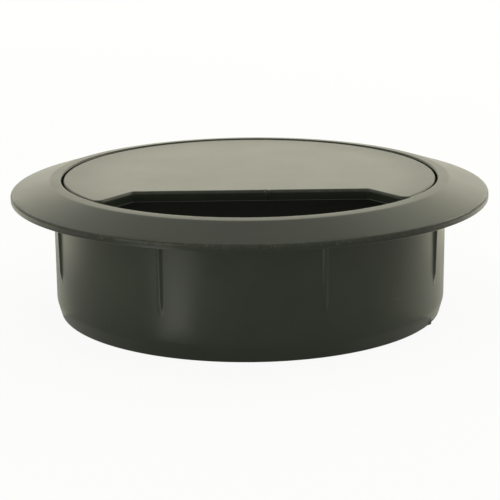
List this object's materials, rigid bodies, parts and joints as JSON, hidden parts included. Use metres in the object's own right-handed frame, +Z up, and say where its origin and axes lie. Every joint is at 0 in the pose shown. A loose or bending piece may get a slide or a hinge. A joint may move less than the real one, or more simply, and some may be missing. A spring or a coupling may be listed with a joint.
{
  "type": "desk cable grommet",
  "caption": "Round desk cable grommet: a flanged liner with crush ribs for a hole in a desk top, and a snap-in cap with a cable slot that turns to face any side.",
  "frame": {"origin": "on the axis at the foot of the skirt, where the grommet stands as pictured", "axes": "+Z up along the axis, out of the desk top; -Y is the side that the cable slot opens to at rest"},
  "size_m": [0.096, 0.096, 0.0273],
  "materials": {
    "black_plastic": "satin black moulded plastic with a fine spark-eroded grain, slightly warm in tone"
  },
  "bodies": {
    "liner": {"liner": "black_plastic"},
    "cap": {"cap": "black_plastic"}
  },
  "joints": [
    {"name": "cap_turn", "type": "hinge", "parent": "liner", "child": "cap", "pos_m": [0, 0, 0.025], "axis": [0, 0, 1], "continuous": true}
  ]
}
